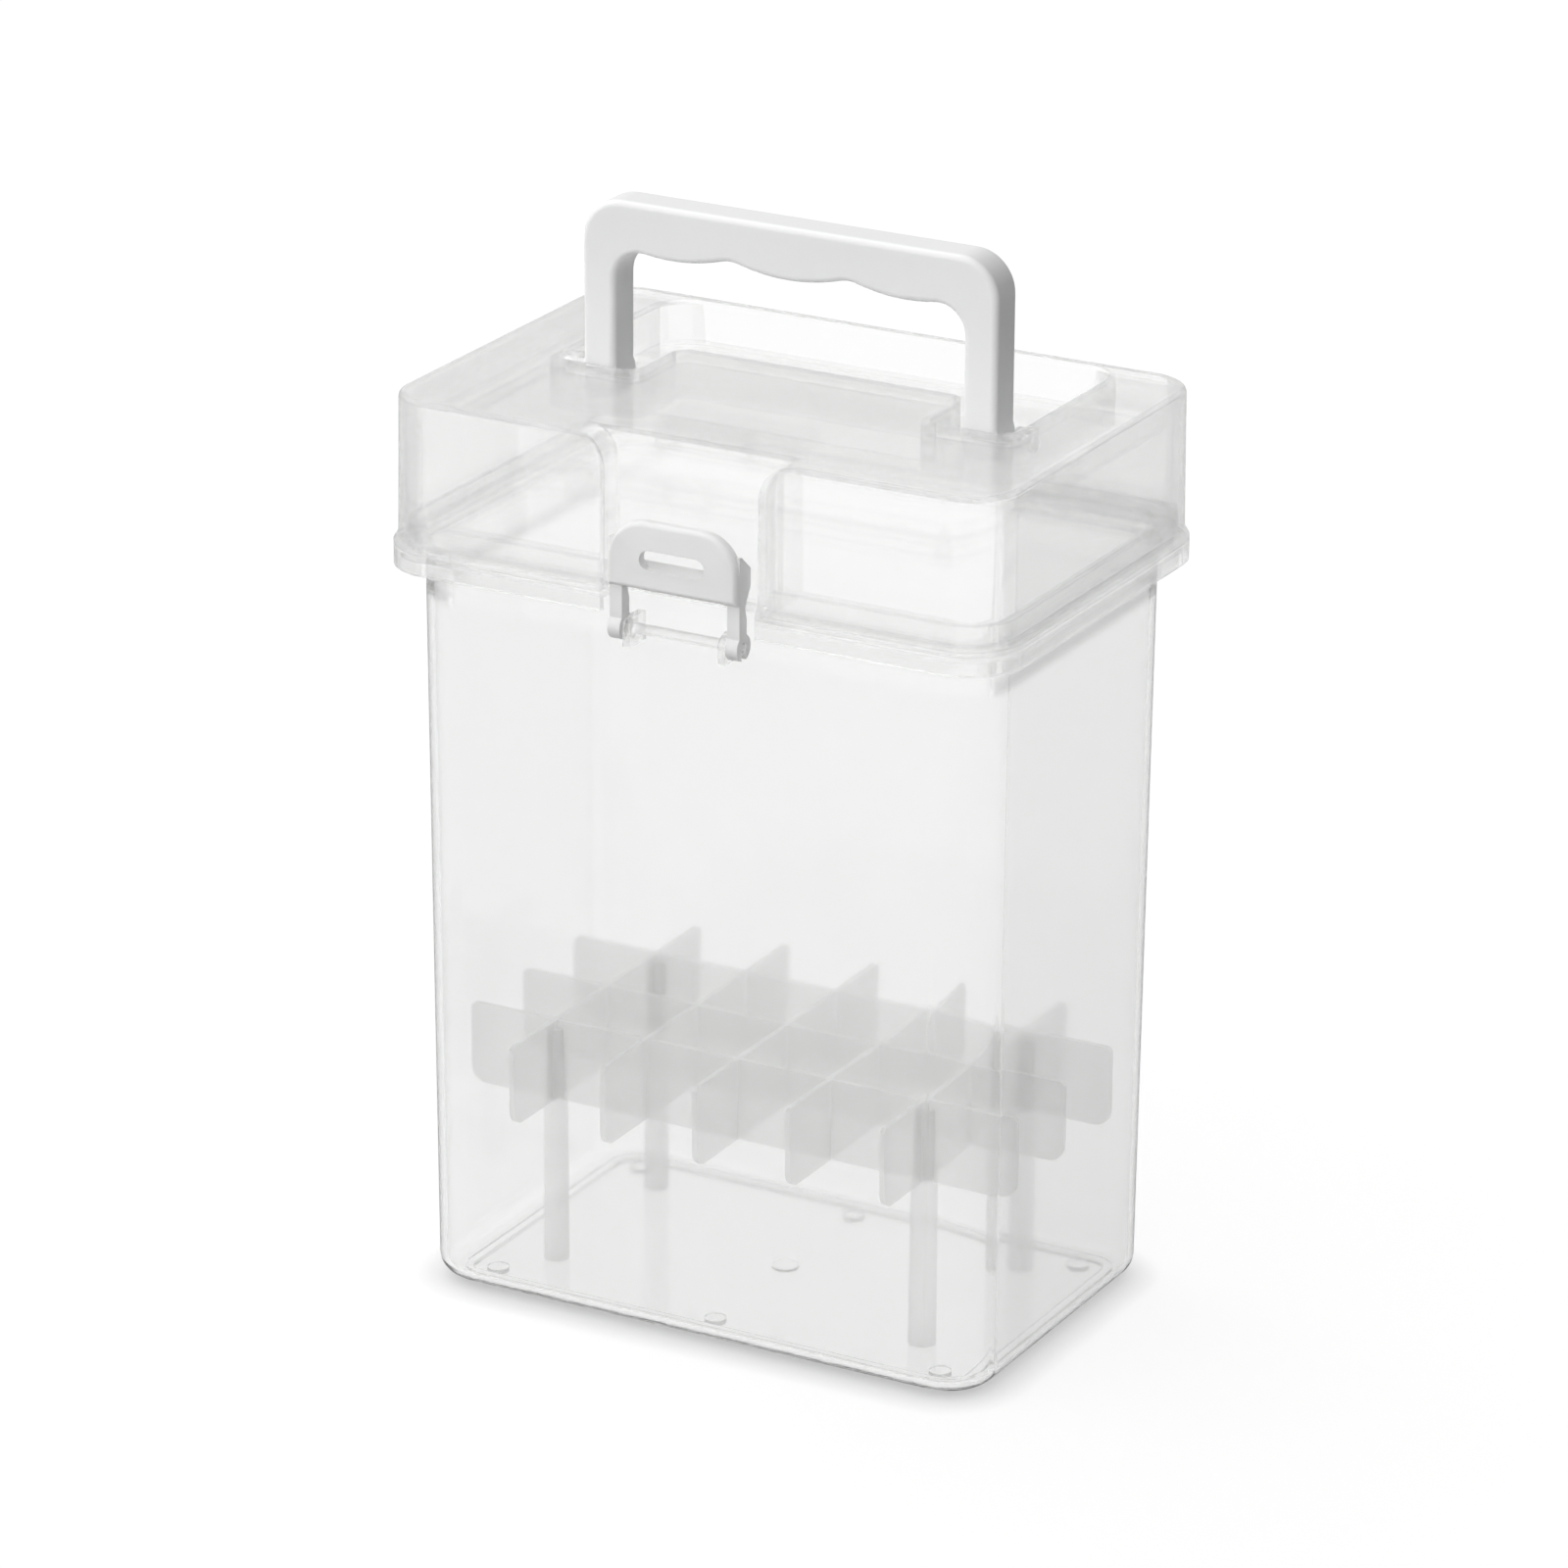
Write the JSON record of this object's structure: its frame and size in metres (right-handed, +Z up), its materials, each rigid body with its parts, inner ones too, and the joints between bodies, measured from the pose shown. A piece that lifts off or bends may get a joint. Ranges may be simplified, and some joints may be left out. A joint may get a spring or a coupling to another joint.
{
  "type": "marker storage case",
  "caption": "Tall clear box with a hinged latched lid, a folding top handle, and a lift-out grid of slats on posts that keeps markers upright.",
  "frame": {"origin": "middle of the face that the case stands on, under the centre of the tub", "axes": "+Z up, +X to the right seen from the latch side, +Y from the latch towards the rear hinge"},
  "size_m": [0.1638, 0.1198, 0.2648],
  "materials": {
    "clear_shell": "clear moulded, glossy",
    "handle_plastic": "opaque white, satin gloss",
    "latch_plastic": "milky translucent, satin",
    "divider_plastic": "milky translucent, fine matte"
  },
  "bodies": {
    "tub_body": {"tub": "clear_shell"},
    "lid_body": {"lid": "clear_shell"},
    "handle_body": {"handle": "handle_plastic"},
    "latch_body": {"latch": "latch_plastic"},
    "divider_body": {"cross_slat_1": "divider_plastic", "cross_slat_2": "divider_plastic", "cross_slat_3": "divider_plastic", "cross_slat_4": "divider_plastic", "cross_slat_5": "divider_plastic", "long_slat_front": "divider_plastic", "long_slat_middle": "divider_plastic", "long_slat_back": "divider_plastic", "post_front_left": "divider_plastic", "post_front_right": "divider_plastic", "post_back_left": "divider_plastic", "post_back_right": "divider_plastic"}
  },
  "joints": [
    {"name": "lid_hinge", "type": "hinge", "parent": "tub_body", "child": "lid_body", "pos_m": [0, 0.0588, 0.1882], "axis": [-1, 0, 0], "range_deg": [0, 180]},
    {"name": "handle_pivot", "type": "hinge", "parent": "lid_body", "child": "handle_body", "pos_m": [0, 0.0015, 0.2211], "axis": [-1, 0, 0], "range_deg": [-32, 90]},
    {"name": "latch_hinge", "type": "hinge", "parent": "tub_body", "child": "latch_body", "pos_m": [0, -0.05405, 0.1807], "axis": [1, 0, 0], "range_deg": [0, 175]},
    {"name": "divider_lift", "type": "slide", "parent": "tub_body", "child": "divider_body", "axis": [0, 0, 1], "range_m": [0, 0.12]}
  ]
}
